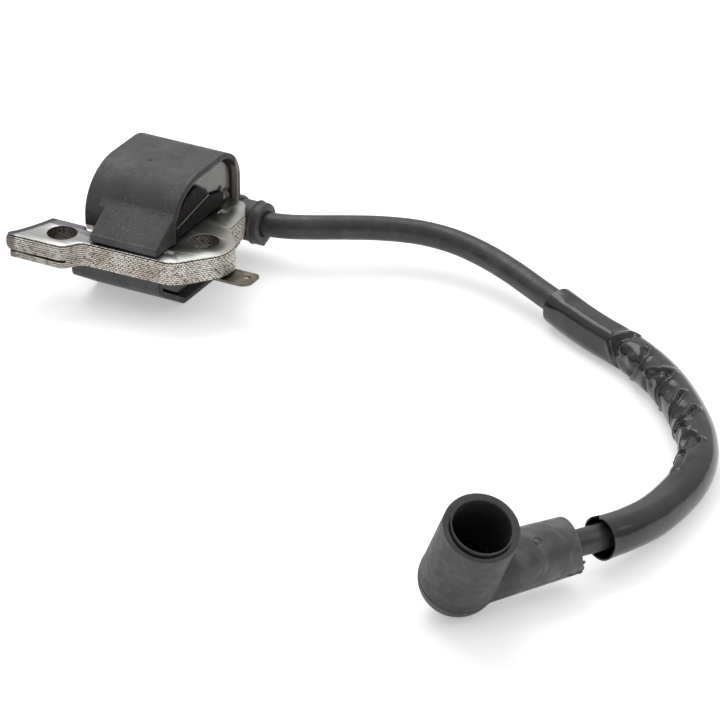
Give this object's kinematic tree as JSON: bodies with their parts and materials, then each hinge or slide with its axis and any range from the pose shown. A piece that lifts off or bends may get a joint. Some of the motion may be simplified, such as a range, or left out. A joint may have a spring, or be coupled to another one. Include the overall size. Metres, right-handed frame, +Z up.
{
  "type": "ignition coil",
  "caption": "Small-engine ignition coil: U-shaped laminated core with screw holes, potted coil housing, stop terminal, and a sleeved high-tension lead with an elbowed rubber plug boot.",
  "frame": {"origin": "middle of the coil body, without the lead and boot, on the flat underside of the housing", "axes": "+X along the winding axis, away from the flywheel; +Y from the bare core leg to the high-tension outlet; +Z up, across the lamination stack"},
  "size_m": [0.1843, 0.1536, 0.0307],
  "materials": {
    "core_steel": "oiled sheet steel, satin faces and striped sheared edges",
    "housing_plastic": "glass-filled moulded plastic, fine speckle, soft sheen",
    "potting_resin": "smooth grey casting resin",
    "bobbin_plastic": "moulded black plastic",
    "magnet_wire": "enamelled copper",
    "board_laminate": "green solder mask",
    "component_black": "moulded epoxy",
    "component_ceramic": "fired ceramic",
    "terminal_plate": "dull tin plate, slightly yellow",
    "contact_brass": "plain",
    "lead_rubber": "smooth extruded rubber, soft highlight",
    "conductor_copper": "stranded copper",
    "sleeve_plastic": "glossy thin-walled insulating sleeve",
    "boot_rubber": "matte moulded rubber",
    "spring_steel": "bright wire"
  },
  "bodies": {
    "coil": {"core_lamination_01": "core_steel", "core_lamination_02": "core_steel", "core_lamination_03": "core_steel", "core_lamination_04": "core_steel", "core_lamination_05": "core_steel", "core_lamination_06": "core_steel", "core_lamination_07": "core_steel", "core_lamination_08": "core_steel", "core_lamination_09": "core_steel", "core_lamination_10": "core_steel", "core_lamination_11": "core_steel", "core_lamination_12": "core_steel", "housing_shell": "housing_plastic", "potting_resin": "potting_resin", "primary_bobbin": "bobbin_plastic", "primary_winding": "magnet_wire", "secondary_bobbin": "bobbin_plastic", "secondary_winding_1": "magnet_wire", "secondary_winding_2": "magnet_wire", "secondary_winding_3": "magnet_wire", "secondary_winding_4": "magnet_wire", "secondary_winding_5": "magnet_wire", "circuit_board": "board_laminate", "switching_transistor": "component_black", "control_transistor": "component_black", "suppressor_diode": "component_black", "timing_capacitor": "component_ceramic", "bias_resistor_1": "component_ceramic", "bias_resistor_2": "component_ceramic", "bias_resistor_3": "component_ceramic", "stop_terminal": "terminal_plate", "high_tension_contact": "contact_brass", "lead_gland": "housing_plastic", "lead_jacket": "lead_rubber", "lead_conductor": "conductor_copper", "lead_sleeve": "sleeve_plastic"},
    "boot": {"plug_boot": "boot_rubber", "boot_spring": "spring_steel"}
  },
  "joints": [
    {"name": "boot_turn", "type": "hinge", "parent": "coil", "child": "boot", "pos_m": [0.1294, -0.1016, 0.0084], "axis": [0.58, 0.814, 0.03], "range_deg": [-120, 55]}
  ]
}
